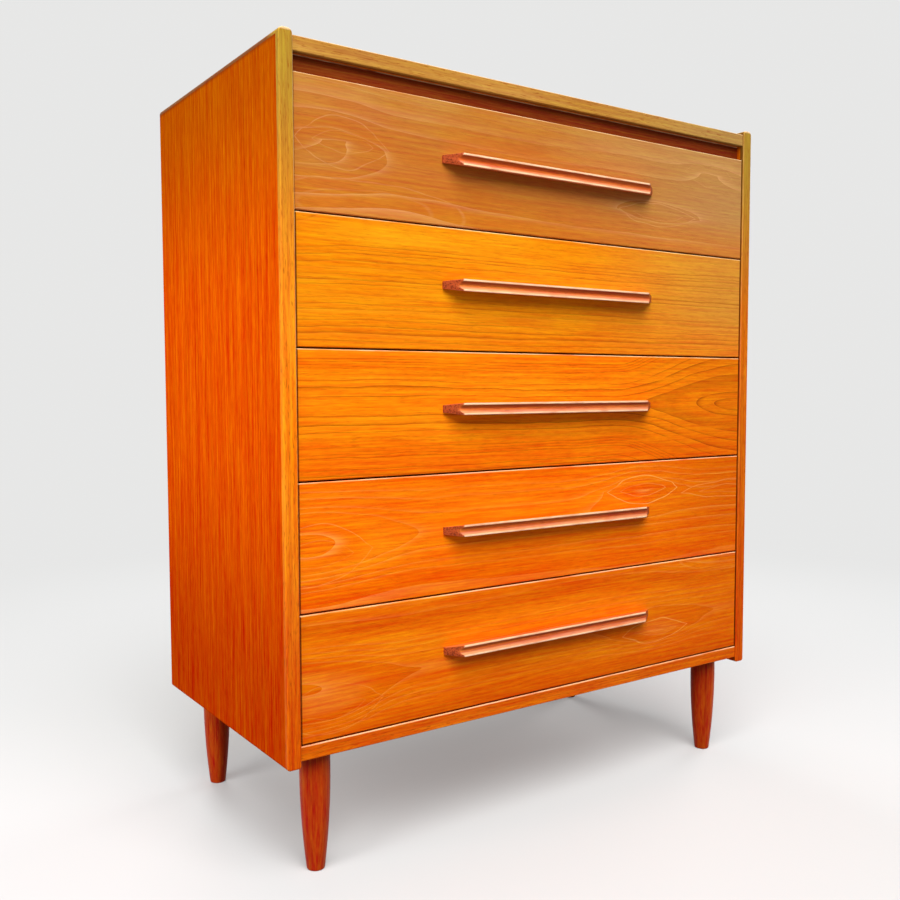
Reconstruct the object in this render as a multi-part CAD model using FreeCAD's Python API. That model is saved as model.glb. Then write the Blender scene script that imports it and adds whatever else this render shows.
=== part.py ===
import FreeCAD, Part
import os

# A tall chest of five side-hung drawers between two full-height side panels, on four turned legs.
# Millimetres. +Z is up, the drawers face -Y, and the origin is on the floor under the middle of the
# whole chest, handles included.

# ---- driving dimensions -------------------------------------------------------------------------

# Case
case_width = 914.0             # over the two side panels
case_depth = 457.0             # front edge to back edge of a side panel
case_height = 1119.0           # floor to the top of a side panel
side_thickness = 20.0
side_rise = 6.5                # side panel above the top panel
side_drop = 8.5                # side panel below the bottom panel
side_top_round = 7.0           # bullnose along the top of a side panel
side_foot_round = 4.0
side_front_round = 2.0
lipping_depth = 8.0            # solid wood edge strips on the veneered boards
top_thickness = 20.0
bottom_thickness = 20.0
rail_edge_round = 1.6
front_setback = 3.0            # drawer fronts and rails behind the side panels' front edges
shadow_gap = 25.0              # open band between the top panel and the first drawer front

# Recessed rail that closes the back of the shadow gap
recess_depth = 12.0            # rail behind the drawer fronts' faces
recessed_rail_thickness = 20.0
recessed_rail_clearance = 2.5  # rail above the first drawer front

# Back panel, let into rebates in the side and top panels
back_thickness = 6.0
back_inset = 1.0
rebate_width = 8.0

# Dowels of the case
dowel_radius = 4.0
dowel_in_side = 12.0
dowel_in_panel = 22.0
dowel_margin = 45.0            # first and last dowel from a panel's ends
dowels_per_end = 4
dowel_fit = 0.05

# Legs
leg_height = 171.5             # floor to the underside of the bottom panel
leg_top_radius = 21.2
leg_middle_radius = 20.1
leg_foot_radius = 12.5
leg_foot_round = 2.0
leg_inset_side = 60.0          # leg centre from the outer face of a side panel
leg_inset_front = 43.0
leg_inset_back = 48.0
bolt_radius = 4.0
bolt_in_leg = 40.0
bolt_end_gap = 1.0             # from the end of the bolt to the end of its insert
insert_wall = 2.0
insert_length = 15.0
bolt_fit = 0.05

# Drawer fronts
drawer_count = 5
front_thickness = 18.0
front_edge_round = 1.5
drawer_gap = 2.4               # between two fronts, and under the lowest
drawer_side_gap = 1.3          # between a drawer and a side panel

# Drawer boxes
box_side_thickness = 14.0
box_back_thickness = 12.0
box_top_reveal = 12.0          # front above the drawer sides
box_bottom_reveal = 10.0       # front below the drawer sides
box_rear_gap = 9.0             # drawer box to the back panel
box_edge_round = 2.0
drawer_bottom_thickness = 4.0
drawer_bottom_rise = 9.0       # groove above the lower edge of the drawer sides
groove_depth = 5.0
back_housing_depth = 4.0

# Half-blind dovetails at the drawer fronts
tail_count = 4
tail_length = 12.0
pin_width = 9.0                # between two tails, at their shoulders
tail_slope = 1.0 / 7.0

# Runners and the grooves that ride on them
runner_thickness = 8.0
runner_height = 16.0
runner_front_gap = 2.0         # front end of a runner behind the drawer front
runner_rear_gap = 20.0         # rear end of a runner from the back panel
runner_end_clearance = 0.5
runner_side_clearance = 0.6
runner_top_clearance = 0.3     # the drawer rides on the tops of its runners
runner_bottom_clearance = 0.7
runner_screw_margin = 35.0
runner_screws_each = 3

# Handles
handle_length = 416.0
handle_projection = 21.0
handle_end_flat = 3.5          # unbevelled thickness at the ends, against the drawer front
handle_end_bevel = 24.0        # how far the plan bevel runs in along the handle
handle_back_height = 10.0
handle_front_height = 17.0
handle_lip_thickness = 1.6     # flat above and below the bevel's flare, at the front
handle_cove_height = 11.6
handle_cove_depth = 4.0
handle_lip_round = 0.6
handle_screw_spacing = 288.0
handle_rise = 5.0              # handle's middle above the middle of its drawer front

# Screws: shank radius, head radius, head height, length under the surface
wood_screw = {"shank": 1.75, "head": 3.4, "head_height": 2.0, "length": 17.0}
back_screw = {"shank": 1.5, "head": 3.0, "head_height": 1.8, "length": 20.0}
handle_screw = {"shank": 2.0, "head": 4.0, "head_height": 2.4, "length": 30.0}
screw_fit = 0.05
pan_head_round = 0.45          # edge radius of a pan head, as a share of the head's height
back_screws_up = 5
back_screws_across = 4
back_screw_margin = 60.0

# ---- derived places -----------------------------------------------------------------------------

overall_depth = case_depth + handle_projection - front_setback
back_y = overall_depth / 2
front_y = back_y - case_depth
face_y = front_y + front_setback
inner_half = case_width / 2 - side_thickness

side_foot_z = leg_height - side_drop
bottom_top_z = leg_height + bottom_thickness
top_z = case_height - side_rise
top_under_z = top_z - top_thickness
back_front_y = back_y - back_inset - back_thickness

stack_low_z = bottom_top_z + drawer_gap
stack_high_z = top_under_z - shadow_gap
front_height = (stack_high_z - stack_low_z - (drawer_count - 1) * drawer_gap) / drawer_count
front_rear_y = face_y + front_thickness
box_half = inner_half - drawer_side_gap
box_inner_half = box_half - box_side_thickness
box_rear_y = back_front_y - box_rear_gap

runner_front_y = front_rear_y + runner_front_gap
runner_rear_y = back_front_y - runner_rear_gap
runner_face = inner_half - runner_thickness


# ---- helpers ------------------------------------------------------------------------------------

def vec(x, y, z):
    return FreeCAD.Vector(x, y, z)


def block(x_low, x_high, y_low, y_high, z_low, z_high):
    """A box between two corners."""
    return Part.makeBox(x_high - x_low, y_high - y_low, z_high - z_low, vec(x_low, y_low, z_low))


def prism(points, sweep):
    """A polygon, given by its corners, swept along a vector."""
    wire = Part.makePolygon(points + [points[0]])
    return Part.Face(wire).extrude(sweep)


def round_edges(solid, radius, wanted):
    """Rounds the edges whose end points all pass the test."""
    edges = [edge for edge in solid.Edges if all(wanted(vertex.Point) for vertex in edge.Vertexes)]
    return solid.makeFillet(radius, edges)


def near(value, target):
    return abs(value - target) < 1e-4


def evenly(first, last, count):
    """Places from first to last, evenly spaced, both ends included."""
    return [first + (last - first) * step / (count - 1) for step in range(count)]


def turned_between(solid, place, direction):
    """A solid made along +Z at the origin, moved to a place and turned to a direction."""
    moved = solid.copy()
    moved.Placement = FreeCAD.Placement(place, FreeCAD.Rotation(vec(0, 0, 1), direction))
    return moved


def screw_solid(size, fit=0.0):
    """A countersunk screw along +Z, head flush with the plane z = 0; fit widens it into its hole."""
    shank = size["shank"] + fit
    head = size["head"] + fit
    tip = size["length"] + fit
    half_outline = [
        vec(0, 0, 0),
        vec(head, 0, 0),
        vec(shank, 0, size["head_height"] + fit),
        vec(shank, 0, tip - 2 * shank),
        vec(0, 0, tip),
    ]
    face = Part.Face(Part.makePolygon(half_outline + [half_outline[0]]))
    return face.revolve(vec(0, 0, 0), vec(0, 0, 1), 360)


def pan_screw_solid(size, fit=0.0):
    """A screw with a raised round head that sits on the plane z = 0; fit widens its shank's hole."""
    shank = Part.makeCylinder(size["shank"] + fit, size["length"] - size["head_height"] + fit)
    if fit > 0:
        return shank
    head = Part.makeCylinder(size["head"], size["head_height"], vec(0, 0, -size["head_height"]))
    head = round_edges(head, size["head_height"] * pan_head_round, lambda p: near(p.z, -size["head_height"]))
    return head.fuse(shank).removeSplitter()


def cut_all(solid, cutters):
    return solid.cut(Part.makeCompound(cutters)) if cutters else solid


def save(name, shape):
    shape.exportStep("parts/" + name + ".step")


# ---- places of the fasteners --------------------------------------------------------------------

dowel_ys = evenly(face_y + dowel_margin, back_y - dowel_margin, dowels_per_end)
recessed_rail_low_z = stack_high_z + recessed_rail_clearance
recessed_rail_front_y = face_y + recess_depth
recessed_rail_rear_y = recessed_rail_front_y + recessed_rail_thickness

# (y, z) of every dowel; each is used on both ends of its panel
dowel_places = [(y, (top_z + top_under_z) / 2) for y in dowel_ys]
dowel_places += [(y, (leg_height + bottom_top_z) / 2) for y in dowel_ys]
dowel_places += [((recessed_rail_front_y + recessed_rail_rear_y) / 2,
                  (recessed_rail_low_z + top_under_z) / 2)]


def dowel_solids(fit):
    """All the dowels of the case, or their holes when fit is above zero."""
    length = dowel_in_side + dowel_in_panel + 2 * fit
    solids = []
    for side in (-1, 1):
        for y, z in dowel_places:
            inner_end = vec(side * (inner_half - dowel_in_panel - fit), y, z)
            solids.append(Part.makeCylinder(dowel_radius + fit, length, inner_end, vec(side, 0, 0)))
    return solids


def front_low_z(number):
    """Lower edge of a drawer front; drawer 1 is the top one."""
    steps_up = drawer_count - number
    return stack_low_z + steps_up * (front_height + drawer_gap)


def box_low_z(number):
    return front_low_z(number) + box_bottom_reveal


def box_high_z(number):
    return front_low_z(number) + front_height - box_top_reveal


def runner_low_z(number):
    """A runner lies across the middle of its drawer's side."""
    return (box_low_z(number) + box_high_z(number) - runner_height) / 2


def runner_screw_solids(number, side, fit):
    """The screws through one runner into a side panel."""
    screw = screw_solid(wood_screw, fit)
    z = runner_low_z(number) + runner_height / 2
    ys = evenly(runner_front_y + runner_screw_margin, runner_rear_y - runner_screw_margin,
                runner_screws_each)
    return [turned_between(screw, vec(side * runner_face, y, z), vec(side, 0, 0)) for y in ys]


def back_screw_solids(fit):
    """The screws round the edge of the back panel."""
    screw = screw_solid(back_screw, fit)
    surface_y = back_y - back_inset
    side_x = inner_half + rebate_width / 2
    places = []
    for z in evenly(leg_height + back_screw_margin, top_under_z - back_screw_margin, back_screws_up):
        places += [(-side_x, z), (side_x, z)]
    for x in evenly(back_screw_margin - inner_half, inner_half - back_screw_margin,
                    back_screws_across):
        places += [(x, top_under_z + rebate_width / 2), (x, leg_height + bottom_thickness / 2)]
    return [turned_between(screw, vec(x, surface_y, z), vec(0, -1, 0)) for x, z in places]


# ---- case ---------------------------------------------------------------------------------------

def round_long_edges(board, radius, z):
    """Rounds a side board's two front-to-back edges at one height."""
    edges = [edge for edge in board.Edges
             if near(edge.Length, case_depth) and near(edge.CenterOfMass.z, z)]
    return board.makeFillet(radius, edges)


def side_board(side):
    """One whole side: a board with a bullnosed top and eased front edges."""
    outer = side * case_width / 2
    inner = side * inner_half
    board = block(min(outer, inner), max(outer, inner), front_y, back_y, side_foot_z, case_height)
    board = round_long_edges(board, side_top_round, case_height)
    board = round_long_edges(board, side_foot_round, side_foot_z)
    return round_edges(board, side_front_round, lambda point: near(point.y, front_y))


def back_rebate():
    """The space of the back panel, out to the rear edges of the case."""
    half = inner_half + rebate_width
    return block(-half, half, back_front_y, back_y, leg_height, top_under_z + rebate_width)


def make_sides():
    cutters = [back_rebate()] + dowel_solids(dowel_fit) + back_screw_solids(screw_fit)
    for number in range(1, drawer_count + 1):
        for side in (-1, 1):
            cutters += runner_screw_solids(number, side, screw_fit)
    for side, name in ((-1, "left"), (1, "right")):
        board = side_board(side)
        core_space = block(-case_width, case_width, front_y + lipping_depth, back_y,
                           side_foot_z, case_height - lipping_depth)
        save("side_panel_" + name, cut_all(board.common(core_space), cutters))
        save("side_lipping_" + name, board.cut(core_space))


def rail(y_low, y_high, z_low, z_high):
    """A strip across the front, between the sides, with its two front edges eased."""
    strip = block(-inner_half, inner_half, y_low, y_high, z_low, z_high)
    edges = [edge for edge in strip.Edges
             if near(edge.Length, 2 * inner_half) and near(edge.CenterOfMass.y, y_low)]
    return strip.makeFillet(rail_edge_round, edges)


def make_shelves():
    """The top and bottom panels, their front lippings and the rail behind the shadow gap."""
    panel_front_y = face_y + lipping_depth
    dowel_holes = dowel_solids(dowel_fit)
    screw_holes = back_screw_solids(screw_fit)

    top = block(-inner_half, inner_half, panel_front_y, back_y, top_under_z, top_z)
    save("top_panel", cut_all(top, dowel_holes + screw_holes + [back_rebate()]))
    save("top_lipping", rail(face_y, panel_front_y, top_under_z, top_z))

    bottom = block(-inner_half, inner_half, panel_front_y, back_front_y, leg_height, bottom_top_z)
    insert_holes = [leg_part(threaded_insert_space(), x, y) for x, y in leg_places]
    save("bottom_panel", cut_all(bottom, dowel_holes + screw_holes + insert_holes))
    save("bottom_lipping", rail(face_y, panel_front_y, leg_height, bottom_top_z))

    recessed = block(-inner_half, inner_half, recessed_rail_front_y, recessed_rail_rear_y,
                     recessed_rail_low_z, top_under_z)
    save("recessed_top_rail", cut_all(recessed, dowel_holes))


def make_back():
    half = inner_half + rebate_width
    panel = block(-half, half, back_front_y, back_y - back_inset, leg_height,
                  top_under_z + rebate_width)
    save("back_panel", cut_all(panel, back_screw_solids(screw_fit)))


def make_runners():
    """The pair of wooden runners that carries each drawer."""
    for number in range(1, drawer_count + 1):
        z_low = runner_low_z(number)
        pair = []
        for side in (-1, 1):
            x_low = min(side * runner_face, side * inner_half)
            strip = block(x_low, x_low + runner_thickness, runner_front_y, runner_rear_y,
                          z_low, z_low + runner_height)
            pair.append(cut_all(strip, runner_screw_solids(number, side, screw_fit)))
        save("runners_drawer_" + str(number), Part.makeCompound(pair))


def make_case_fasteners():
    screws = []
    for number in range(1, drawer_count + 1):
        for side in (-1, 1):
            screws += runner_screw_solids(number, side, 0.0)
    save("runner_screws", Part.makeCompound(screws))
    save("back_panel_screws", Part.makeCompound(back_screw_solids(0.0)))
    save("case_dowels", Part.makeCompound(dowel_solids(0.0)))


# ---- legs ---------------------------------------------------------------------------------------

leg_x = case_width / 2 - leg_inset_side
leg_names = ["leg_front_left", "leg_front_right", "leg_back_left", "leg_back_right"]
leg_places = [
    (-leg_x, front_y + leg_inset_front),
    (leg_x, front_y + leg_inset_front),
    (-leg_x, back_y - leg_inset_back),
    (leg_x, back_y - leg_inset_back),
]


def leg_part(solid, x, y):
    """A solid made on the leg's own axis, moved under its corner of the case."""
    moved = solid.copy()
    moved.translate(vec(x, y, 0))
    return moved


def turned_leg():
    """A full, cigar-shaped taper turned about the leg's axis, with an eased foot."""
    side_arc = Part.Arc(
        vec(leg_top_radius, 0, leg_height),
        vec(leg_middle_radius, 0, leg_height / 2),
        vec(leg_foot_radius, 0, 0),
    ).toShape()
    outline = [
        side_arc,
        Part.makeLine(vec(leg_foot_radius, 0, 0), vec(0, 0, 0)),
        Part.makeLine(vec(0, 0, 0), vec(0, 0, leg_height)),
        Part.makeLine(vec(0, 0, leg_height), vec(leg_top_radius, 0, leg_height)),
    ]
    leg = Part.Face(Part.Wire(outline)).revolve(vec(0, 0, 0), vec(0, 0, 1), 360)
    leg = round_edges(leg, leg_foot_round, lambda point: near(point.z, 0) and abs(point.x) > 1)
    return leg.cut(hanger_bolt(bolt_fit))


def hanger_bolt(fit):
    """The headless bolt between leg and bottom panel, or its hole when fit is above zero."""
    length = bolt_in_leg + insert_length - bolt_end_gap
    return Part.makeCylinder(bolt_radius + fit, length + fit, vec(0, 0, leg_height - bolt_in_leg - fit))


def threaded_insert_space():
    radius = bolt_radius + insert_wall
    return Part.makeCylinder(radius, insert_length, vec(0, 0, leg_height))


def make_legs():
    leg = turned_leg()
    bolt = hanger_bolt(0.0)
    insert = threaded_insert_space().cut(hanger_bolt(bolt_fit))
    for name, place in zip(leg_names, leg_places):
        save(name, leg_part(leg, *place))
    save("leg_hanger_bolts", Part.makeCompound([leg_part(bolt, *place) for place in leg_places]))
    save("leg_threaded_inserts", Part.makeCompound([leg_part(insert, *place) for place in leg_places]))


# ---- drawers ------------------------------------------------------------------------------------

def tail_solids(number, side):
    """The dovetail ends of one drawer side; they widen towards the drawer's face."""
    low = box_low_z(number)
    height = box_high_z(number) - low
    tail_width = (height - tail_count * pin_width) / tail_count
    flare = tail_length * tail_slope
    x_low = min(side * box_half, side * box_inner_half)
    solids = []
    for index in range(tail_count):
        z_low = low + pin_width / 2 + index * (tail_width + pin_width)
        z_high = z_low + tail_width
        corners = [
            vec(x_low, front_rear_y, z_low),
            vec(x_low, front_rear_y - tail_length, z_low - flare),
            vec(x_low, front_rear_y - tail_length, z_high + flare),
            vec(x_low, front_rear_y, z_high),
        ]
        solids.append(prism(corners, vec(box_side_thickness, 0, 0)))
    return solids


def bottom_board(number):
    """The thin drawer bottom, which slides into grooves in the sides and the front."""
    z_low = box_low_z(number) + drawer_bottom_rise
    half = box_inner_half + groove_depth
    return block(-half, half, front_rear_y - groove_depth, box_rear_y,
                 z_low, z_low + drawer_bottom_thickness)


def back_board(number):
    """The drawer back, housed in the sides and standing on the bottom."""
    z_low = box_low_z(number) + drawer_bottom_rise + drawer_bottom_thickness
    half = box_inner_half + back_housing_depth
    return block(-half, half, box_rear_y - box_back_thickness, box_rear_y, z_low, box_high_z(number))


def runner_groove(number):
    """The space that both runners of a drawer slide in, open at the rear of the drawer."""
    z_low = runner_low_z(number) - runner_bottom_clearance
    z_high = runner_low_z(number) + runner_height + runner_top_clearance
    bottom_x = runner_face - runner_side_clearance
    y_low = runner_front_y - runner_end_clearance
    return [
        block(-inner_half, -bottom_x, y_low, back_front_y, z_low, z_high),
        block(bottom_x, inner_half, y_low, back_front_y, z_low, z_high),
    ]


def drawer_side(number, side):
    x_low = min(side * box_half, side * box_inner_half)
    board = block(x_low, x_low + box_side_thickness, front_rear_y, box_rear_y,
                  box_low_z(number), box_high_z(number))
    top_edges = [edge for edge in board.Edges
                 if near(edge.CenterOfMass.z, box_high_z(number))
                 and near(edge.Length, box_rear_y - front_rear_y)]
    board = board.makeFillet(box_edge_round, top_edges)
    board = board.fuse(tail_solids(number, side)).removeSplitter()
    return cut_all(board, [bottom_board(number), back_board(number)] + runner_groove(number))


def handle_middle_z(number):
    return front_low_z(number) + front_height / 2 + handle_rise


def handle_screw_places(number):
    z = handle_middle_z(number)
    return [(side * handle_screw_spacing / 2, z) for side in (-1, 1)]


def handle_screw_solids(number, fit):
    """The screws that hold the handle, put in from inside the drawer."""
    screw = pan_screw_solid(handle_screw, fit)
    return [turned_between(screw, vec(x, front_rear_y, z), vec(0, -1, 0))
            for x, z in handle_screw_places(number)]


def drawer_front(number):
    low = front_low_z(number)
    board = block(-box_half, box_half, face_y, front_rear_y, low, low + front_height)
    board = round_edges(board, front_edge_round, lambda point: near(point.y, face_y))
    sockets = tail_solids(number, -1) + tail_solids(number, 1)
    return cut_all(board, sockets + [bottom_board(number)] + handle_screw_solids(number, screw_fit))


def handle_bar():
    """A bar that widens away from the drawer, with a hollow along its front and bevelled ends."""
    half = handle_length / 2
    back_half = handle_back_height / 2
    front_half = handle_front_height / 2
    front = face_y - handle_projection
    lip_y = front + handle_lip_thickness
    section = [
        vec(-half, face_y, -back_half),
        vec(-half, face_y, back_half),
        vec(-half, lip_y, front_half),
        vec(-half, front, front_half),
        vec(-half, front, -front_half),
        vec(-half, lip_y, -front_half),
    ]
    bar = prism(section, vec(handle_length, 0, 0))

    half_chord = handle_cove_height / 2
    cove_radius = (half_chord ** 2 + handle_cove_depth ** 2) / (2 * handle_cove_depth)
    cove_y = front + handle_cove_depth - cove_radius
    bar = bar.cut(Part.makeCylinder(cove_radius, handle_length, vec(-half, cove_y, 0), vec(1, 0, 0)))

    lip_edges = [edge for edge in bar.Edges
                 if near(edge.Length, handle_length) and edge.CenterOfMass.y < lip_y + 1e-4]
    bar = bar.makeFillet(handle_lip_round, lip_edges)

    flat_y = face_y - handle_end_flat
    plan = [
        vec(-half, face_y, -front_half),
        vec(-half, flat_y, -front_half),
        vec(handle_end_bevel - half, front, -front_half),
        vec(half - handle_end_bevel, front, -front_half),
        vec(half, flat_y, -front_half),
        vec(half, face_y, -front_half),
    ]
    return bar.common(prism(plan, vec(0, 0, handle_front_height)))


def make_drawer(number, bar):
    prefix = "drawer_" + str(number) + "_"
    save(prefix + "front", drawer_front(number))
    save(prefix + "side_left", drawer_side(number, -1))
    save(prefix + "side_right", drawer_side(number, 1))
    save(prefix + "back", back_board(number))
    save(prefix + "bottom", bottom_board(number))
    handle = bar.copy()
    handle.translate(vec(0, 0, handle_middle_z(number)))
    save(prefix + "handle", cut_all(handle, handle_screw_solids(number, screw_fit)))
    save(prefix + "handle_screws", Part.makeCompound(handle_screw_solids(number, 0.0)))


# ---- the whole chest ----------------------------------------------------------------------------

os.makedirs("parts", exist_ok=True)
make_sides()
make_shelves()
make_back()
make_runners()
make_case_fasteners()
make_legs()
one_bar = handle_bar()
for drawer in range(1, drawer_count + 1):
    make_drawer(drawer, one_bar)
print("drawer front height", round(front_height, 2), "box travel", round(box_rear_y - front_rear_y, 1))
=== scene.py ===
import math

import bmesh
import bpy
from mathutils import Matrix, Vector


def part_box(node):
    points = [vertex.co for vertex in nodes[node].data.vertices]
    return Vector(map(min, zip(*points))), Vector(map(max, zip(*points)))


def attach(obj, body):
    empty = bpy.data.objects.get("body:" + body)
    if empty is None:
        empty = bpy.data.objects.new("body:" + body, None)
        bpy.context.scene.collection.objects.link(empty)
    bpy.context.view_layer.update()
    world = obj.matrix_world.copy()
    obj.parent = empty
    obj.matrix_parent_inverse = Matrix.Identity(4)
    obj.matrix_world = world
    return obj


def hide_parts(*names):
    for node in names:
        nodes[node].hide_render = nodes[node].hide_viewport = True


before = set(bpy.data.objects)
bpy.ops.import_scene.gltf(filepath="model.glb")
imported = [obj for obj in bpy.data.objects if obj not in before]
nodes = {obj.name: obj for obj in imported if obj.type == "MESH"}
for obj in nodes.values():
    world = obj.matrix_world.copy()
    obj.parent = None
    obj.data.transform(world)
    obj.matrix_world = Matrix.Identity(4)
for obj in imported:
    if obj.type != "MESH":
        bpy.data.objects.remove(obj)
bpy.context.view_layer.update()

print("frame loaded:", len(nodes), "nodes")


# A socket's value. Python's operators on it add Math nodes.
class Wire:
    def __init__(self, shader, socket):
        self.shader = shader
        self.socket = socket

    def math(self, operation, *others, clamp=False):
        return self.shader.math(operation, self, *others, clamp=clamp)

    def output(self, name):
        return Wire(self.shader, self.socket.node.outputs[name])

    def __add__(self, other):
        return self.math("ADD", other)

    def __radd__(self, other):
        return self.math("ADD", other)

    def __sub__(self, other):
        return self.math("SUBTRACT", other)

    def __rsub__(self, other):
        return self.shader.math("SUBTRACT", other, self)

    def __mul__(self, other):
        return self.math("MULTIPLY", other)

    def __rmul__(self, other):
        return self.math("MULTIPLY", other)

    def __truediv__(self, other):
        return self.math("DIVIDE", other)

    def __rtruediv__(self, other):
        return self.shader.math("DIVIDE", other, self)

    def __pow__(self, other):
        return self.math("POWER", other)

    def __neg__(self):
        return self.math("MULTIPLY", -1.0)

    def __abs__(self):
        return self.math("ABSOLUTE")

    def __gt__(self, other):
        return self.math("GREATER_THAN", other)


# The nodes of one material, or of the world
class Shader:
    def __init__(self, owner):
        owner.use_nodes = True
        self.owner = owner
        self.tree = owner.node_tree
        self.tree.nodes.clear()

    # kind of node, its settings, then the values or links of its sockets
    def node(self, kind, settings=None, sockets=None, out=0):
        made = self.tree.nodes.new(kind)
        for key, value in (settings or {}).items():
            if key == "stops":
                self.setStops(made.color_ramp, value)
            else:
                setattr(made, key, value)
        listed = sockets.items() if isinstance(sockets, dict) else enumerate(sockets or [])
        for key, value in listed:
            if isinstance(value, Wire):
                self.tree.links.new(value.socket, made.inputs[key])
            else:
                made.inputs[key].default_value = value
        return Wire(self, made.outputs[out]) if made.outputs else None

    def setStops(self, ramp, stops):
        while len(ramp.elements) < len(stops):
            ramp.elements.new(1.0)
        for element, (place, colour) in zip(ramp.elements, stops):
            element.position = place
            element.color = colour

    def math(self, operation, *values, clamp=False):
        return self.node("ShaderNodeMath", {"operation": operation, "use_clamp": clamp}, values)

    def split(self, vector):
        x = self.node("ShaderNodeSeparateXYZ", {}, [vector])
        return [x, x.output("Y"), x.output("Z")]

    # the object's own X, Y, Z in metres, in the order asked for
    def place(self, axes="XYZ"):
        parts = self.split(self.node("ShaderNodeTexCoord", out="Object"))
        return [parts["XYZ".index(axis)] for axis in axes]

    # noise whose features are about so many metres long, wide and deep
    def noise(self, grain, sizes, detail=2.0, rough=0.5, seed=0.0):
        along, across, depth = grain
        spot = self.node("ShaderNodeCombineXYZ", {},
                         [along / sizes[0] + seed, across / sizes[1] - seed, depth / sizes[2]])
        return self.node("ShaderNodeTexNoise", {},
                         {"Vector": spot, "Scale": 1.0, "Detail": detail, "Roughness": rough})

    def lineNoise(self, value, detail=1.0):
        return self.node("ShaderNodeTexNoise", {"noise_dimensions": "1D"},
                         {"W": value, "Scale": 1.0, "Detail": detail, "Roughness": 0.5})

    def smooth(self, value, low, high):
        return self.node("ShaderNodeMapRange", {"interpolation_type": "SMOOTHSTEP"},
                         {"Value": value, "From Min": low, "From Max": high})

    def mix(self, factor, first, second):
        return self.node("ShaderNodeMix", {"data_type": "RGBA"}, {0: factor, 6: first, 7: second}, out=2)

    def mixVector(self, factor, first, second):
        return self.node("ShaderNodeMix", {"data_type": "VECTOR"}, {0: factor, 4: first, 5: second}, out=1)

    # colour lightened by one amount around 1, and turned from red to gold by another around 0
    def vary(self, colour, light, turn):
        return self.node("ShaderNodeHueSaturation", {}, {"Hue": turn + 0.5, "Value": light, "Color": colour})

    def surface(self, colour, rough, height, bumpDepth, constants):
        bump = self.node("ShaderNodeBump", {}, {"Strength": 1.0, "Distance": bumpDepth, "Height": height})
        sockets = {"Base Color": colour, "Roughness": rough, "Normal": bump}
        sockets.update(constants)
        shading = self.node("ShaderNodeBsdfPrincipled", {}, sockets)
        self.node("ShaderNodeOutputMaterial", {}, {"Surface": shading})


def tint(red, green, blue):       # a colour as a screen shows it, 0 to 255, made linear
    shares = [value / 255 for value in (red, green, blue)]
    return tuple([s / 12.92 if s <= 0.04045 else ((s + 0.055) / 1.055) ** 2.4 for s in shares] + [1.0])


def part(*names):
    return [nodes[name] for name in names]


def dress(objects, material):     # CAD nodes keep their mesh and get this finish
    for item in objects:
        for slot in item.material_slots:
            slot.material = material


# ---- wood

woodGloss = {"IOR": 1.5}

# What one board may change. Lengths are metres.
board = {
    "pale": tint(250, 152, 24),
    "body": tint(248, 126, 9),
    "deep": tint(238, 98, 3),
    "line": tint(160, 56, 4),
    "outline": tint(255, 176, 76),
    "rings": 95.0,            # growth rings per metre across the board
    "wander": 0.022,          # how far the rings drift across the board
    "wanderLength": 0.42,
    "heart": None,            # (across, half width, along where it opens, along where it is whole, fan)
    "figures": [],            # (along, across, half length, half width, rings, 1 pointed or 2 round, outline)
    "darkLines": 0.5,
    "paleLines": 0.3,
    "bands": 0.5,             # slow shade from ring to ring
    "blotch": 0.55,           # slow drift of colour over the board
    "streaks": 0.20,          # long soft streaks
    "flecks": 0.26,           # short ones, gold against red
    "fibre": 0.25,
    "pores": 0.3,
    "poreSize": (0.014, 0.0012),
    "fades": [],              # (grain axis 0 or 1, from, to, colour, share): mostly painted sheen and shade across the board, some the wood's own tone
    "face": None,             # where its face is, into the board
    "halfLength": 1.0,
    # endLine: strength of the painted shade line along the board's ends
    "endLine": 0.0,
    "shade": tint(84, 30, 8),
    "rough": 0.38,
    "gloss": 0.02,            # specular level
    "seed": 1.0,
    "centre": (0.0, 0.0),
}


def woodMaterial(name, axes, changes, wearAndHighlightMask=None):
    s = Shader(bpy.data.materials.new(name))
    paintWood(s, s.place(axes), dict(board, **changes), wearAndHighlightMask)
    return s.owner


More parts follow.
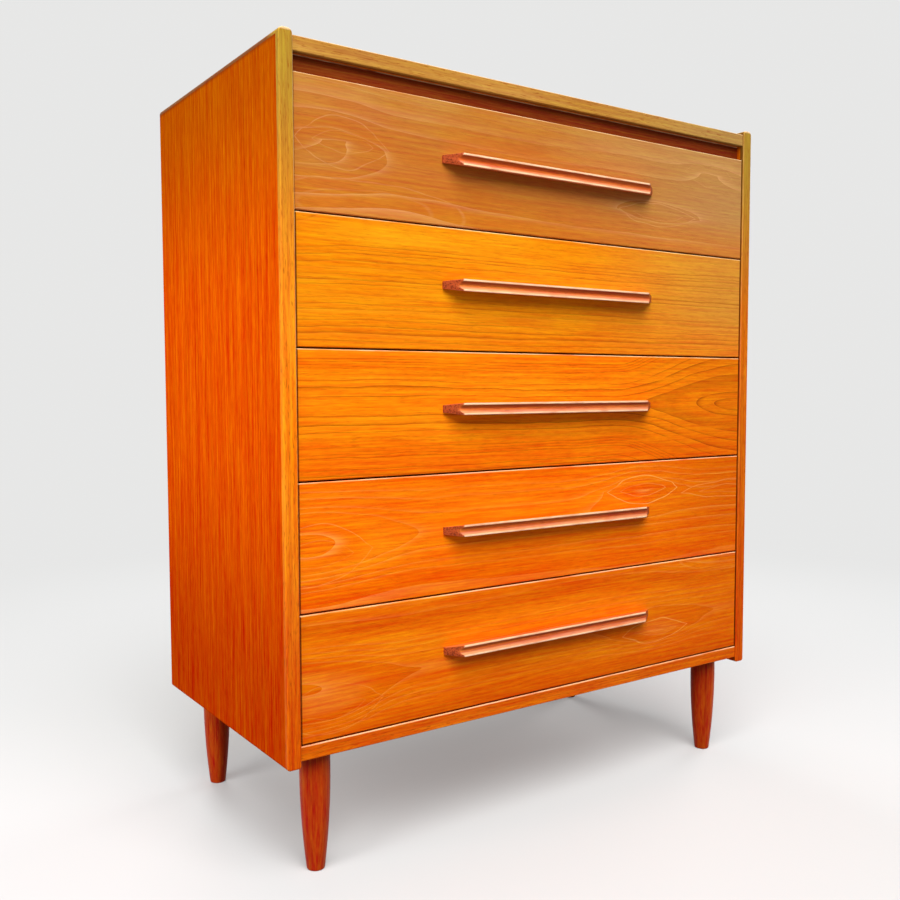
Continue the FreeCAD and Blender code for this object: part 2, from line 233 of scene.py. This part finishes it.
# Colours one board from its grain: metres along, across and into it
def paintWood(s, grain, look, wearAndHighlightMask=None):
    seed = look["seed"]
    along = grain[0] - look["centre"][0]
    across = grain[1] - look["centre"][1]
    grain = (along, across, grain[2])

    drift = s.noise(grain, (look["wanderLength"], 0.11, 0.3), 1.5, 0.45, seed)
    ripple = s.noise(grain, (0.060, 0.018, 0.05), 1.0, 0.5, seed + 7.3)
    bent = across + (drift - 0.5) * look["wander"] * 2 + (ripple - 0.5) * 0.004

    if look["heart"]:
        middle, halfWidth, opens, whole, fan = look["heart"]
        closed = s.smooth(along, opens, whole)
        away = (bent - middle) / (1 + (1 - closed) * fan)
        rings = (away ** 2.0 + (closed * halfWidth) ** 2.0) ** 0.5 * look["rings"]
    else:
        rings = bent * look["rings"]
    swirl = across + (ripple - 0.5) * 0.011
    around = 0.0
    outlines = 0.0
    inside = 0.0
    for figureAlong, figureAcross, halfLength, halfWidth, height, power, strength in look["figures"]:
        reach = ((along - figureAlong) / halfLength) ** 2.0
        off = reach + abs((swirl - figureAcross) / halfWidth) ** power
        rings = rings + (-off).math("EXPONENT") * height
        around = (off * -0.35).math("EXPONENT").math("MAXIMUM", around)
        thin = 0.0013 * power / halfWidth
        outer = s.smooth(abs(off - 1), thin, 0.0)
        inner = s.smooth(abs(off - 0.42), thin * 0.8, 0.0) * 0.6
        outlines = (outer.math("MAXIMUM", inner) * strength).math("MAXIMUM", outlines)
        inside = (s.smooth(off, 1.1, 0.3) * strength).math("MAXIMUM", inside)

    count = rings + s.lineNoise(rings * 0.31 + seed * 3.1) * 4.0
    saw = count.math("FRACT")
    strong = s.smooth(s.lineNoise(rings * 0.43 + seed * 5.7, 0.0), 0.32, 0.62)
    broken = s.smooth(s.noise(grain, (0.22, 0.014, 0.1), 2.0, 0.55, seed + 1.0), 0.22, 0.52)
    darkEdge = saw ** 7.0 * (strong * 0.7 + 0.3) * broken
    paleEdge = (1 - saw) ** 8.0 * (around * 0.8 + 0.2) * (broken * 0.6 + 0.4) * look["paleLines"]
    if look["figures"]:
        paleEdge = (outlines * (broken * 0.7 + 0.3)).math("MAXIMUM", paleEdge)
    band = s.smooth(s.lineNoise(rings * 0.27 + seed * 1.9, 1.5), 0.32, 0.68)

    blotch = s.smooth(s.noise(grain, (0.26, 0.050, 0.2), 2.5, 0.55, seed + 3.0), 0.3, 0.7)
    cloud = s.noise(grain, (0.085, 0.020, 0.1), 2.0, 0.6, seed + 5.0)
    streak = s.noise(grain, (0.13, 0.0040, 0.004), 2.0, 0.55, seed + 2.0)
    fleck = s.noise(grain, (0.020, 0.0027, 0.003), 2.0, 0.6, seed + 4.0)
    fibre = s.noise(grain, (0.026, 0.0012, 0.0012), 1.0, 0.6, seed)
    poreLength, poreWidth = look["poreSize"]
    poreField = s.noise(grain, (poreLength, poreWidth, poreWidth), 1.0, 0.5, seed + 9.0)
    pores = s.smooth(poreField, 0.58, 0.70) * (0.4 + saw * 0.6)

    colour = s.mix(blotch * look["blotch"], look["body"], look["pale"])
    colour = s.mix(band * look["bands"], colour, look["deep"])
    colour = s.mix((cloud - 0.40) * 0.9, colour, look["deep"])
    if look["figures"]:
        colour = s.mix(inside * 0.5, colour, look["deep"])
    for axis, start, end, tone, share in look["fades"]:
        colour = s.mix(s.smooth(grain[axis], start, end) * share, colour, tone)
    colour = s.mix(paleEdge, colour, look["outline"])
    colour = s.mix(darkEdge * look["darkLines"], colour, look["line"])
    colour = s.mix(pores * look["pores"], colour, look["line"])
    light = 1 + (streak - 0.5) * look["streaks"] * 2 + (fleck - 0.5) * look["flecks"] + (fibre - 0.5) * look["fibre"]
    turn = (streak - 0.5) * 0.045 + (fleck - 0.5) * look["flecks"] * 0.10
    colour = s.vary(colour, light, turn)
    if look["face"] is not None:      # painted shade: darker in the gaps behind its face, and a painted dark line along its ends for the shade of the gap beside them
        gapShade = s.smooth(grain[2] - look["face"], 0.0018, 0.0070) * 0.55
        endShadeLine = s.smooth(abs(along), look["halfLength"] - 0.0022, look["halfLength"] - 0.0010) * look["endLine"]
        colour = s.mix(gapShade.math("MAXIMUM", endShadeLine), colour, look["shade"])
    # marks from the board's mask: real wear, and on fronts, rails, lippings and handles also painted highlights
    if wearAndHighlightMask:
        colour = s.mix(wearAndHighlightMask(s, grain), colour, look["wearAndHighlightColour"])

    rough = look["rough"] + (fibre - 0.5) * 0.10 + pores * 0.14 + (cloud - 0.5) * 0.08
    height = fibre * 0.35 + streak * 0.25 - pores - darkEdge * 0.2
    s.surface(colour, rough, height, 0.00012, dict(woodGloss, **{"Specular IOR Level": look["gloss"]}))


# ---- drawer fronts: five leaves of veneer, grain across the chest

# Each front's tints are partly its veneer's own tone and partly painted light, brighter or duller by how the light
# falls on it. Its fades are painted light too: a paler, greyer sky sheen on the upper fronts, and a darker or redder
# tone towards the right ends of the lower fronts and towards every front's lower edge. endLine paints a dark shade
# line along the ends.
fronts = {
    1: {"pale": tint(190, 134, 70), "body": tint(182, 116, 44), "deep": tint(188, 98, 26), "line": tint(140, 70, 26),
        "outline": tint(222, 166, 108), "rings": 58.0, "wander": 0.014, "heart": (-0.02, 0.030, -0.47, -0.28, 0.0),
        "darkLines": 0.10, "paleLines": 0.50, "bands": 0.65, "streaks": 0.09, "flecks": 0.16, "pores": 0.16,
        "seed": 11.0,
        "figures": [(-0.365, 0.006, 0.070, 0.034, -1.6, 1, 0.35), (-0.33, -0.075, 0.16, 0.036, 1.3, 2, 0.20),
                    (0.226, -0.030, 0.090, 0.018, -1.2, 1, 0.35), (0.35, 0.050, 0.060, 0.020, -1.0, 1, 0.15)],
        "fades": [(0, -0.10, 0.46, tint(180, 136, 80), 0.75), (1, -0.01, -0.085, tint(208, 112, 22), 0.6)]},
    2: {"pale": tint(240, 160, 20), "body": tint(232, 134, 7), "deep": tint(228, 116, 4), "line": tint(150, 64, 8),
        "outline": tint(250, 184, 70), "rings": 125.0, "wander": 0.010, "wanderLength": 0.60, "blotch": 0.75,
        "heart": (0.095, 0.034, -0.55, -0.35, 0.0), "darkLines": 0.75, "paleLines": 0.35, "bands": 0.4,
        "streaks": 0.12, "flecks": 0.20, "pores": 0.24, "seed": 23.0, "endLine": 0.85,
        "fades": [(0, 0.00, 0.46, tint(204, 136, 50), 0.9), (1, 0.00, -0.085, tint(236, 116, 6), 0.6)]},
    3: {"pale": tint(252, 152, 18), "body": tint(248, 130, 8), "deep": tint(240, 106, 2), "line": tint(140, 44, 2),
        "outline": tint(255, 170, 50), "rings": 120.0, "wander": 0.010, "wanderLength": 0.36,
        "heart": (0.008, 0.022, 0.47, 0.12, 1.7), "darkLines": 0.85, "paleLines": 0.3, "bands": 0.45,
        "streaks": 0.12, "flecks": 0.20, "pores": 0.24, "seed": 37.0, "endLine": 0.85,
        "fades": [(0, 0.10, 0.46, tint(216, 108, 6), 0.8), (1, -0.01, -0.085, tint(232, 92, 2), 0.65)]},
    4: {"pale": tint(250, 144, 16), "body": tint(244, 114, 4), "deep": tint(238, 96, 1), "line": tint(160, 50, 2),
        "outline": tint(252, 176, 88), "rings": 56.0, "wander": 0.018, "heart": (0.010, 0.036, -0.50, -0.22, 0.0),
        "darkLines": 0.14, "paleLines": 0.50, "bands": 0.65, "streaks": 0.10, "flecks": 0.16, "pores": 0.16,
        "seed": 49.0, "endLine": 0.85,
        "figures": [(0.197, 0.040, 0.082, 0.024, -2.6, 1, 0.75), (0.42, 0.030, 0.13, 0.016, -1.0, 1, 0.40),
                    (-0.41, -0.010, 0.085, 0.042, -1.4, 1, 0.30)],
        "fades": [(0, 0.10, 0.46, tint(212, 94, 3), 0.85), (1, -0.01, -0.085, tint(232, 90, 1), 0.5)]},
    5: {"pale": tint(246, 142, 14), "body": tint(230, 108, 4), "deep": tint(218, 86, 2), "line": tint(150, 48, 2),
        "outline": tint(246, 166, 80), "rings": 60.0, "wander": 0.018, "heart": (-0.010, 0.036, -0.52, -0.26, 0.0),
        "darkLines": 0.16, "paleLines": 0.45, "bands": 0.65, "streaks": 0.10, "flecks": 0.18, "pores": 0.18,
        "seed": 61.0, "endLine": 0.85,
        "figures": [(0.230, -0.028, 0.078, 0.019, -2.2, 1, 0.55), (-0.39, -0.045, 0.08, 0.034, -1.4, 1, 0.25),
                    (0.42, 0.085, 0.13, 0.024, 1.6, 2, 0.20)],
        "fades": [(0, 0.15, 0.46, tint(216, 98, 3), 0.6), (1, -0.02, -0.085, tint(214, 86, 2), 0.65)]},
}
# pale tone of the upper edges: wear and a painted highlight
frontWearAndHighlight = {"width": 0.0019, "share": 0.70, "colour": tint(255, 226, 176)}


# A board across the chest, its upper edge painted pale: partly wear, partly a painted highlight of the rounded edge
def acrossMaterial(name, node, changes):
    low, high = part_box(node)
    middle = ((low[0] + high[0]) / 2, (low[2] + high[2]) / 2)
    half = (high[2] - low[2]) / 2

    # painted highlight and wear: a pale band along the upper edge, at the face only
    def paleTopEdge(s, grain):
        patch = s.smooth(s.noise(grain, (0.05, 0.01, 0.01), 2.0, 0.6, 4.0), 0.2, 0.6)
        atFace = s.smooth(grain[2] - low[1], 0.0026, 0.0012)
        return s.smooth(grain[1], half - frontWearAndHighlight["width"], half) * patch * atFace * frontWearAndHighlight["share"]

    place = {"centre": middle, "face": low[1], "halfLength": (high[0] - low[0]) / 2, "wearAndHighlightColour": frontWearAndHighlight["colour"]}
    return woodMaterial(name, "XZY", dict(changes, **place), paleTopEdge)


for number in fronts:
    node = "drawer_%d_front" % number
    dress(part(node), acrossMaterial("teakFront%d" % number, node, fronts[number]))
print("drawer fronts done")


# ---- case: straight quarter-cut veneer on the sides, plainer on the top and bottom

sideVeneer = {
    "pale": tint(238, 104, 4), "body": tint(230, 86, 2), "deep": tint(216, 68, 1), "line": tint(140, 36, 1),
    "outline": tint(246, 124, 20),
    "rings": 170.0, "wander": 0.004, "wanderLength": 0.9, "darkLines": 0.40, "paleLines": 0.25, "bands": 0.65,
    "blotch": 0.45, "streaks": 0.24, "pores": 0.28, "poreSize": (0.020, 0.0011), "gloss": 0.0,
    # painted light along the height: darker towards the top, and darker and redder towards the bottom
    "fades": [(0, 0.75, 1.12, tint(174, 80, 1), 0.9), (0, 0.62, 0.20, tint(184, 54, 1), 0.85)],
}
topVeneer = {
    "pale": tint(222, 130, 28), "body": tint(210, 106, 13), "deep": tint(192, 82, 6), "line": tint(132, 48, 6),
    "rings": 100.0, "wander": 0.012, "wanderLength": 0.5, "heart": (0.05, 0.03, -0.7, -0.2, 0.0), "darkLines": 0.45,
    "paleLines": 0.25, "pores": 0.34, "seed": 8.0,
}
sideTopWear = {"from": -0.006, "share": 0.55, "colour": tint(120, 40, 12)}


def sideMaterial(name, node, seed):
    low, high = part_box(node)

    def darkTopEdge(s, grain):
        return s.smooth(grain[0], high[2] + sideTopWear["from"], high[2]) * sideTopWear["share"]

    return woodMaterial(name, "ZYX", dict(sideVeneer, seed=seed, wearAndHighlightColour=sideTopWear["colour"]), darkTopEdge)


dress(part("side_panel_left"), sideMaterial("teakSideLeft", "side_panel_left", 5.0))
dress(part("side_panel_right"), sideMaterial("teakSideRight", "side_panel_right", 6.5))
dress(part("top_panel"), woodMaterial("teakTop", "XYZ", topVeneer))
dress(part("bottom_panel"), woodMaterial("teakBottom", "XYZ", dict(topVeneer, seed=9.0)))

lipping = {
    "pale": tint(250, 162, 40), "body": tint(246, 132, 8), "deep": tint(232, 104, 4), "line": tint(140, 54, 6),
    "rings": 210.0, "wander": 0.003, "wanderLength": 0.5, "darkLines": 0.35, "paleLines": 0.3, "bands": 0.5,
    "blotch": 0.6, "streaks": 0.24, "pores": 0.6, "poreSize": (0.013, 0.0016), "rough": 0.40,
    # painted light along the height, as on the sides: duller and more olive towards the top, redder towards the
    # bottom; the last fade is the darker wood of the top end
    "fades": [(0, 0.70, 1.10, tint(158, 130, 44), 0.9), (0, 0.62, 0.22, tint(204, 72, 3), 0.9),
              (0, 1.155, 1.19, tint(112, 56, 26), 0.9)],
    "wearAndHighlightColour": tint(252, 208, 160), "edgeWearAndHighlight": 0.85,
}


# The lipping's front strip has upright grain and its top strip runs to the back, with a mitre between
def lippingMaterial(name, node, side, changes):
    low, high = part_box(node)
    inner = high[0] if side > 0 else low[0]
    s = Shader(bpy.data.materials.new(name))
    x, y, z = s.place()
    upright = s.node("ShaderNodeCombineXYZ", {}, [z, x, y])
    level = s.node("ShaderNodeCombineXYZ", {}, [y + high[2] + 0.25, x, z])
    onTop = (z - high[2]) + (y - low[1]) > 0.0
    grain = s.split(s.mixVector(onTop, upright, level))
    facing = s.node("ShaderNodeNewGeometry", out="Normal")

    # pale inner front edge and top end: wear and a painted highlight of the rounded edges
    def paleEdgeMarks(s, grain):
        patch = s.smooth(s.noise(grain, (0.05, 0.01, 0.01), 2.0, 0.6, 4.0), 0.2, 0.6)
        atFront = s.smooth(y - low[1], 0.0024, 0.0012)
        innerEdge = s.smooth(abs(x - inner), 0.0016, 0.0004) * s.smooth(z, 0.20, 0.98)
        topEnd = s.smooth(z, high[2] - 0.0045, high[2] - 0.0010)
        return (innerEdge * look["edgeWearAndHighlight"]).math("MAXIMUM", topEnd * 0.8) * atFront * patch

    look = dict(board, **dict(lipping, **changes))
    paintWood(s, grain, look, paleEdgeMarks)
    shading = s.tree.nodes["Principled BSDF"]
    painted = Wire(s, shading.inputs["Base Color"].links[0].from_socket)
    # painted shade on the inner face, in the gap beside the drawers
    innerFaceShade = s.smooth(s.split(facing)[0] * side, 0.6, 0.9) * s.smooth(y - low[1], 0.0014, 0.0030)
    s.tree.links.new(s.mix(innerFaceShade * 0.75, painted, board["shade"]).socket, shading.inputs["Base Color"])
    return s.owner


rightLipping = {"pale": tint(220, 124, 22), "body": tint(212, 102, 6), "deep": tint(196, 82, 3), "seed": 4.0,
                "edgeWearAndHighlight": 0.1}
# painted sky sheen: paler and greyer towards the right end of the top lipping, as on front 1
topRailSheen = [(0, 0.05, 0.45, tint(168, 134, 74), 0.7)]
rails = {
    "top_lipping": {"pale": tint(200, 148, 74), "body": tint(182, 130, 54), "deep": tint(168, 106, 36), "seed": 2.0,
                    "fades": topRailSheen, "rough": 0.42},
    "bottom_lipping": {"pale": tint(234, 122, 20), "body": tint(220, 96, 6), "deep": tint(202, 76, 3), "seed": 7.0,
                       "fades": []},
    "recessed_top_rail": {"pale": tint(140, 60, 22), "body": tint(122, 46, 14), "deep": tint(96, 32, 8), "seed": 7.7,
                          "fades": []},
}
dress(part("side_lipping_left"), lippingMaterial("teakLippingLeft", "side_lipping_left", 1, {"seed": 3.0}))
dress(part("side_lipping_right"), lippingMaterial("teakLippingRight", "side_lipping_right", -1, rightLipping))
for name, changes in rails.items():
    dress(part(name), acrossMaterial("teak_" + name, name, dict(lipping, **changes)))
print("case done")


# ---- drawer boxes, runners and back: plain pale wood

paleWood = {
    "pale": tint(226, 190, 140), "body": tint(212, 170, 118), "deep": tint(192, 146, 94), "line": tint(140, 98, 58),
    "rings": 130.0, "wander": 0.010, "darkLines": 0.35, "paleLines": 0.2, "bands": 0.5, "streaks": 0.10,
    "flecks": 0.2, "fibre": 0.2, "pores": 0.2, "rough": 0.58, "seed": 14.0, "outline": tint(236, 206, 160),
}
plyWood = dict(paleWood, pale=tint(208, 168, 120), body=tint(192, 148, 98), deep=tint(170, 124, 78), rings=40.0,
               wander=0.05, seed=17.0)
boxSideWood = woodMaterial("drawerSideWood", "YZX", paleWood)
boxBackWood = woodMaterial("drawerBackWood", "XZY", dict(paleWood, seed=15.0))
runnerWood = woodMaterial("runnerWood", "YZX", dict(paleWood, body=tint(186, 132, 84), seed=19.0))
drawerPly = woodMaterial("drawerBottomPly", "XYZ", plyWood)
backPly = woodMaterial("backPly", "ZXY", dict(plyWood, seed=18.0))
for number in fronts:
    prefix = "drawer_%d_" % number
    dress(part(prefix + "side_left", prefix + "side_right"), boxSideWood)
    dress(part(prefix + "back"), boxBackWood)
    dress(part(prefix + "bottom"), drawerPly)
    dress(part("runners_drawer_%d" % number), runnerWood)
dress(part("back_panel"), backPly)
dress(part("case_dowels"), boxSideWood)
print("drawer boxes done")


# ---- handles: a bar with a hollow along its front and bevelled ends

handle = {
    "backHeight": 0.0100, "lipThickness": 0.0016, "coveHeight": 0.0116, "coveDepth": 0.0040, "coveSteps": 9,
    "endFlat": 0.0035, "endBevel": 0.0240, "edgeRound": 0.0007,
    "wood": {"pale": tint(238, 136, 66), "body": tint(214, 96, 34), "deep": tint(182, 68, 18),
             "line": tint(104, 34, 8), "rings": 240.0, "wander": 0.003, "wanderLength": 0.3, "darkLines": 0.35,
             "paleLines": 0.25, "bands": 0.5, "streaks": 0.2, "pores": 0.4, "rough": 0.34, "gloss": 0.06,
             "wearAndHighlightColour": tint(255, 216, 174)},
    # lip and hollow settings: wear and painted highlight on the lips, a painted highlight on the lower half of the
    # hollow, painted shade in its upper half
    "endGrain": tint(170, 72, 34), "endPores": tint(92, 30, 12), "lipWearAndHighlight": 0.85, "coveHighlight": 0.22,
    "coveShade": tint(112, 32, 6), "coveShadeShare": 0.55,
}


# Outline of the bar's section, as (y, z) around its middle height, from its back to its front
def handleOutline(front, back, halfHeight):
    halfCove = handle["coveHeight"] / 2
    depth = handle["coveDepth"]
    radius = (halfCove ** 2 + depth ** 2) / (2 * depth)
    widest = math.asin(halfCove / radius)
    steps = handle["coveSteps"]
    angles = [widest * (1 - 2 * step / steps) for step in range(steps + 1)]
    cove = [(front + depth - radius + radius * math.cos(a), radius * math.sin(a)) for a in angles]
    upper = [(back, handle["backHeight"] / 2), (front + handle["lipThickness"], halfHeight), (front, halfHeight)]
    lower = [(y, -z) for y, z in reversed(upper)]
    return upper + cove + lower


def makeHandle(number):
    node = "drawer_%d_handle" % number
    low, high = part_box(node)
    front, back = low[1], high[1]
    middle = (low[2] + high[2]) / 2
    outline = handleOutline(front, back, (high[2] - low[2]) / 2)
    work = bmesh.new()
    corners = [work.verts.new((low[0], y, middle + z)) for y, z in outline]
    section = work.faces.new(corners)
    swept = bmesh.ops.extrude_face_region(work, geom=[section])
    ends = [item for item in swept["geom"] if isinstance(item, bmesh.types.BMVert)]
    bmesh.ops.translate(work, verts=ends, vec=(high[0] - low[0], 0, 0))
    for end, side in ((low[0], -1), (high[0], 1)):
        slope = Vector((side * (back - handle["endFlat"] - front), -handle["endBevel"], 0)).normalized()
        bmesh.ops.bisect_plane(work, geom=work.verts[:] + work.edges[:] + work.faces[:], clear_outer=True,
                               plane_co=(end, back - handle["endFlat"], middle), plane_no=slope)
        openEdges = [edge for edge in work.edges if edge.is_boundary]
        bmesh.ops.holes_fill(work, edges=openEdges)
    bmesh.ops.recalc_face_normals(work, faces=work.faces[:])
    sharp = [edge for edge in work.edges if edge.calc_face_angle(0.0) > math.radians(28)
             and max(vert.co.y for vert in edge.verts) < back - 0.001]
    bmesh.ops.bevel(work, geom=sharp, offset=handle["edgeRound"], offset_type="OFFSET", segments=2, profile=0.5,
                    affect="EDGES", material=-1, clamp_overlap=True)
    mesh = bpy.data.meshes.new(node + "_bar")
    work.to_mesh(mesh)
    work.free()
    for face in mesh.polygons:
        face.use_smooth = True
    mesh.set_sharp_from_angle(angle=math.radians(26))
    bar = bpy.data.objects.new(node + "_bar", mesh)
    bpy.context.collection.objects.link(bar)
    mesh.materials.append(handleMaterial(number, low, high, front, back, middle))
    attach(bar, "drawer_%d" % number)
    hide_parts(node)


def handleMaterial(number, low, high, front, back, middle):
    look = dict(board, **dict(handle["wood"], seed=31.0 + number * 3.3))
    halfHeight = (high[2] - low[2]) / 2
    s = Shader(bpy.data.materials.new("teakHandle%d" % number))
    x, y, z = s.place()
    normal = s.split(s.node("ShaderNodeNewGeometry", out="Normal"))

    # pale lips and end rims: wear and a painted highlight; the lower half of the hollow, which faces up, gets a
    # painted highlight
    def paleLipsAndCove(s, grain):
        lip = s.smooth(abs(z - middle), handle["coveHeight"] / 2 - 0.0006, handle["coveHeight"] / 2 + 0.0004)
        near = s.smooth(y, front + handle["lipThickness"] * 1.2, front)
        patch = s.smooth(s.noise(grain, (0.035, 0.01, 0.01), 2.0, 0.6, 4.0), 0.2, 0.6)
        # painted highlight on the lower half of the hollow
        hollow = s.smooth(middle - z, 0.0005, 0.0045) * s.smooth(y, back - 0.006, front + 0.005)
        rim = s.smooth(abs(normal[0]), 0.10, 0.30) * near
        wornAndLitLips = (lip * near).math("MAXIMUM", rim) * handle["lipWearAndHighlight"]
        return wornAndLitLips.math("MAXIMUM", hollow * handle["coveHighlight"]) * (0.45 + patch * 0.55)

    paintWood(s, [x, z, y], look, paleLipsAndCove)
    side = s.tree.nodes["Principled BSDF"]
    plain = Wire(s, side.inputs["Base Color"].links[0].from_socket)
    speckle = s.smooth(s.noise([x, z, y], (0.0020, 0.0020, 0.0020), 2.0, 0.6), 0.46, 0.62)
    endWood = s.mix(speckle * 0.8, handle["endGrain"], handle["endPores"])
    onEnd = s.smooth(abs(normal[0]), 0.45, 0.60)
    # painted shade on the upper half of the hollow, which faces down
    roof = s.smooth(z, middle - 0.0005, middle + 0.0030) * s.smooth(y, front + 0.0009, front + 0.0018)
    roof = roof * (s.smooth(-normal[2], -0.1, 0.15)) * s.smooth(y, back - 0.012, back - 0.014)
    coveShaded = s.mix(roof * handle["coveShadeShare"], plain, handle["coveShade"])
    s.tree.links.new(s.mix(onEnd, coveShaded, endWood).socket, side.inputs["Base Color"])
    return s.owner


for number in fronts:
    makeHandle(number)
print("handles done")


# ---- legs

legWood = {
    "pale": tint(206, 74, 14), "body": tint(184, 54, 5), "deep": tint(150, 38, 3), "line": tint(96, 22, 2),
    "rings": 150.0, "wander": 0.004, "wanderLength": 0.3, "darkLines": 0.3, "paleLines": 0.15, "bands": 0.6,
    "streaks": 0.22, "flecks": 0.3, "pores": 0.18, "rough": 0.32, "gloss": 0.06,
}
for count, name in enumerate(("leg_front_left", "leg_front_right", "leg_back_left", "leg_back_right")):
    dress(part(name), woodMaterial("legWood%d" % (count + 1), "ZXY", dict(legWood, seed=41.0 + count * 2.7)))
print("legs done")


# ---- metal

def metalMaterial(name, colour, dull):
    s = Shader(bpy.data.materials.new(name))
    smear = s.noise(s.place(), (0.004, 0.004, 0.004), 3.0, 0.6)
    s.surface(s.mix(smear * 0.5, colour, dull), smear * 0.2 + 0.28, smear, 0.00005, {"Metallic": 1.0})
    return s.owner


zinc = metalMaterial("zincScrew", tint(196, 194, 186), tint(120, 116, 108))
brass = metalMaterial("brassInsert", tint(214, 178, 104), tint(140, 108, 52))
dress(part("runner_screws", "back_panel_screws", "leg_hanger_bolts"), zinc)
dress(part("leg_threaded_inserts"), brass)
for number in fronts:
    dress(part("drawer_%d_handle_screws" % number), zinc)
print("metal done")


# ---- stage, light and camera

floor = {"size": 60.0, "colour": (0.20, 0.20, 0.20, 1.0), "seen": (0.62, 0.62, 0.615, 1.0), "fadeFrom": 0.6,
         "fadeTo": 2.6, "far": (0.80, 0.80, 0.795, 1.0)}


def makeFloor():
    mesh = bpy.data.meshes.new("studioFloor")
    work = bmesh.new()
    bmesh.ops.create_grid(work, x_segments=2, y_segments=2, size=floor["size"] / 2)
    work.to_mesh(mesh)
    work.free()
    ground = bpy.data.objects.new("studioFloor", mesh)
    bpy.context.collection.objects.link(ground)
    s = Shader(bpy.data.materials.new("studioFloor"))
    x, y, z = s.place()
    distance = (x ** 2.0 + y ** 2.0) ** 0.5
    path = s.node("ShaderNodeLightPath", out="Is Camera Ray")
    seen = path + path.output("Is Glossy Ray") + path.output("Is Transmission Ray")
    shade = s.mix(seen, floor["colour"], floor["seen"])
    matt = s.node("ShaderNodeBsdfDiffuse", {}, {"Color": shade})
    glow = s.node("ShaderNodeEmission", {}, {"Color": floor["far"], "Strength": 1.0})
    fade = (0.2 + s.smooth(distance, floor["fadeFrom"], floor["fadeTo"]) * 0.8) * seen
    both = s.node("ShaderNodeMixShader", {}, [fade, matt, glow])
    s.node("ShaderNodeOutputMaterial", {}, {"Surface": both})
    mesh.materials.append(s.owner)


sky = {"light": (0.94, 0.96, 1.0, 1.0), "strength": 0.17, "seen": floor["far"]}


def makeSky():
    world = bpy.data.worlds.new("studioSky")
    bpy.context.scene.world = world
    s = Shader(world)
    light = s.node("ShaderNodeBackground", {}, {"Color": sky["light"], "Strength": sky["strength"]})
    shown = s.node("ShaderNodeBackground", {}, {"Color": sky["seen"], "Strength": 1.0})
    path = s.node("ShaderNodeLightPath", out="Is Camera Ray")
    seen = path + path.output("Is Glossy Ray") + path.output("Is Transmission Ray")
    both = s.node("ShaderNodeMixShader", {}, [seen, light, shown])
    s.node("ShaderNodeOutputWorld", {}, {"Surface": both})


lamps = {
    "keyLamp": {"place": (-1.2, -3.1, 4.6), "aim": (0.0, 0.0, 0.6), "size": 5.0, "power": 440.0},
    "fillLamp": {"place": (2.6, -2.6, 1.2), "aim": (0.0, 0.0, 0.6), "size": 2.4, "power": 4.0},
    "sideLamp": {"place": (-3.2, -0.6, 1.5), "aim": (-0.4, -0.1, 0.6), "size": 2.0, "power": 62.0},
    "rightLamp": {"place": (3.3, 0.7, 1.6), "aim": (0.4, 0.1, 0.6), "size": 1.8, "power": 50.0},
    "backLamp": {"place": (0.4, 3.6, 2.0), "aim": (0.0, 0.2, 0.6), "size": 2.0, "power": 75.0, "glint": False},
}


def makeLamps():
    for name, lamp in lamps.items():
        data = bpy.data.lights.new(name, "AREA")
        data.shape = "DISK"
        data.size = lamp["size"]
        data.energy = lamp["power"]
        item = bpy.data.objects.new(name, data)
        item.location = lamp["place"]
        towards = Vector(lamp["aim"]) - Vector(lamp["place"])
        item.rotation_euler = towards.to_track_quat("-Z", "Y").to_euler()
        item.visible_camera = False
        item.visible_glossy = lamp.get("glint", True)
        bpy.context.collection.objects.link(item)


view = {"place": (-0.9888, -1.3653, 0.6651), "turn": 34.63, "dip": 3.63, "roll": 0.16, "lens": 38.886}


def makeCamera():
    data = bpy.data.cameras.new("chestCamera")
    data.sensor_width = 36.0
    data.lens = view["lens"]
    camera = bpy.data.objects.new("chestCamera", data)
    camera.location = view["place"]
    camera.rotation_euler = (math.radians(90 - view["dip"]), math.radians(view["roll"]), math.radians(-view["turn"]))
    bpy.context.collection.objects.link(camera)
    bpy.context.scene.camera = camera


makeFloor()
makeSky()
makeLamps()
makeCamera()
bpy.context.scene.view_settings.view_transform = "Standard"
print("stage done")
